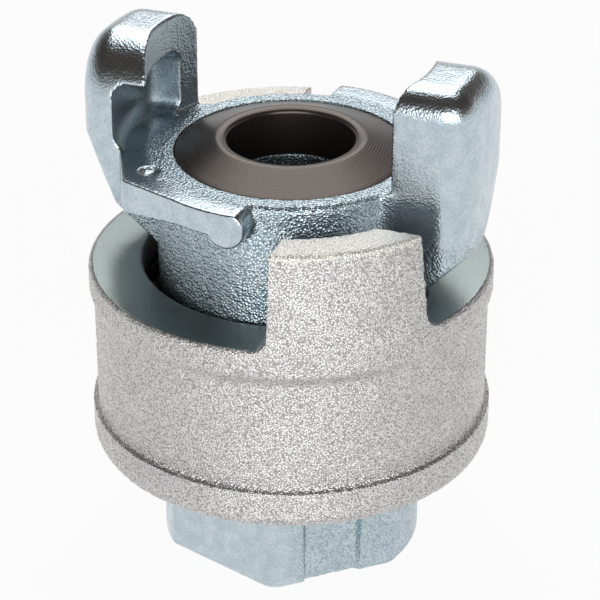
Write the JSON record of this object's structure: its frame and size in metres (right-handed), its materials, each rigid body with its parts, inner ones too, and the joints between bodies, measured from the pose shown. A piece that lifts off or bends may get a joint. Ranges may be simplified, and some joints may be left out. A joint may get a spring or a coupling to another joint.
{
  "type": "claw hose coupling half",
  "caption": "Claw coupling half for air hose: hooked head with rubber face seal, threaded wrench base and a sprung locking sleeve.",
  "frame": {"origin": "on the axis of the air way, at the face of the wrench base", "axes": "+Z along the air way towards the claws and seal; the claws lie on +X and -X"},
  "size_m": [0.0624, 0.0624, 0.0832],
  "materials": {
    "body_zinc": "bright zinc plate over a smooth casting",
    "sleeve_zinc": "bright zinc plate over a rough sand casting",
    "seal_rubber": "moulded and turned, satin",
    "spring_steel": "oiled spring steel",
    "washer_steel": "zinc plated, satin"
  },
  "bodies": {
    "body": {"coupling_body": "body_zinc", "face_seal": "seal_rubber", "spring_washer": "washer_steel", "retaining_ring": "spring_steel", "sleeve_spring": "spring_steel"},
    "sleeve": {"locking_sleeve": "sleeve_zinc"}
  },
  "joints": [
    {"name": "sleeve_slide", "type": "slide", "parent": "body", "child": "sleeve", "axis": [0, 0, 1], "range_m": [-0.013, 0], "stiffness_N_per_m": 1500, "springref_m": 0.012, "deforming": ["sleeve_spring"]}
  ]
}
